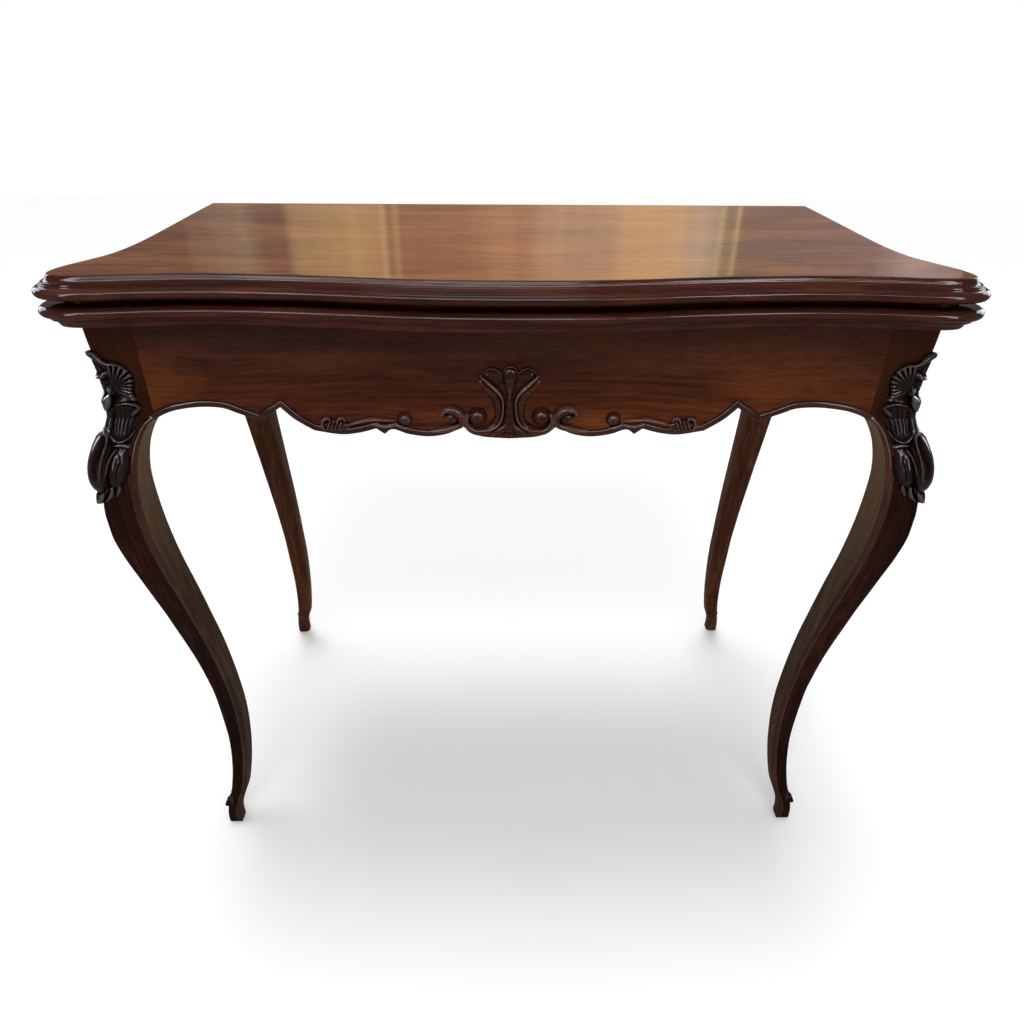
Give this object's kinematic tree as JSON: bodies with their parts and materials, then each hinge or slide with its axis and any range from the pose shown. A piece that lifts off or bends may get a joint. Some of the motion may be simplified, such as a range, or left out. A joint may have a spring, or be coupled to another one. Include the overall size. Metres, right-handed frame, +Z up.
{
  "type": "folding games table",
  "caption": "Serpentine-topped games table on carved cabriole legs; the folded top turns on its frame and opens to a baize playing surface over a card well.",
  "frame": {"origin": "on the floor, under the middle of the closed table's bounding box", "axes": "+X along the length, +Y from the carved front to the rear, +Z up"},
  "size_m": [0.8432, 0.4694, 0.75],
  "materials": {
    "rosewood": "french polished",
    "polished_top": "high gloss french polish",
    "dark_carving": "dark polished carving",
    "plain_wood": "unpolished secondary wood",
    "baize": "felted wool",
    "brass": "aged, satin",
    "iron": "dark, oiled"
  },
  "bodies": {
    "frame": {"leg_front_left": "rosewood", "leg_front_right": "rosewood", "leg_rear_left": "rosewood", "leg_rear_right": "rosewood", "apron_front": "rosewood", "apron_rear": "rosewood", "apron_left": "rosewood", "apron_right": "rosewood", "apron_palmette": "dark_carving", "apron_scroll_left": "dark_carving", "apron_scroll_right": "dark_carving", "apron_leaf_left": "dark_carving", "apron_leaf_right": "dark_carving", "knee_shell_left": "dark_carving", "knee_shell_right": "dark_carving", "knee_cartouche_left": "dark_carving", "knee_cartouche_right": "dark_carving", "well_floor": "plain_wood", "well_bearer_front": "plain_wood", "well_bearer_rear": "plain_wood", "well_partition": "plain_wood", "pivot_board": "plain_wood", "pivot_ring": "iron", "pivot_washer": "iron"},
    "turning_top": {"lower_leaf": "rosewood", "lower_baize": "baize", "pivot_plate": "iron", "pivot_bolt": "iron", "pivot_nut": "iron", "stop_peg": "plain_wood", "hinge_lower_left": "brass", "hinge_lower_right": "brass", "hinge_pin_left": "brass", "hinge_pin_right": "brass", "hinge_screw_lower_left_1": "brass", "hinge_screw_lower_left_2": "brass", "hinge_screw_lower_right_1": "brass", "hinge_screw_lower_right_2": "brass"},
    "flap": {"upper_leaf": "polished_top", "upper_baize": "baize", "hinge_upper_left": "brass", "hinge_upper_right": "brass", "hinge_screw_upper_left_1": "brass", "hinge_screw_upper_left_2": "brass", "hinge_screw_upper_right_1": "brass", "hinge_screw_upper_right_2": "brass"}
  },
  "joints": [
    {"name": "top_swivel", "type": "hinge", "parent": "frame", "child": "turning_top", "pos_m": [0.10175, 0.11251, 0.7046], "axis": [0, 0, 1], "range_deg": [0, 90]},
    {"name": "leaf_fold", "type": "hinge", "parent": "turning_top", "child": "flap", "pos_m": [0, 0.21426, 0.72745], "axis": [-1, 0, 0], "range_deg": [0, 180]}
  ]
}
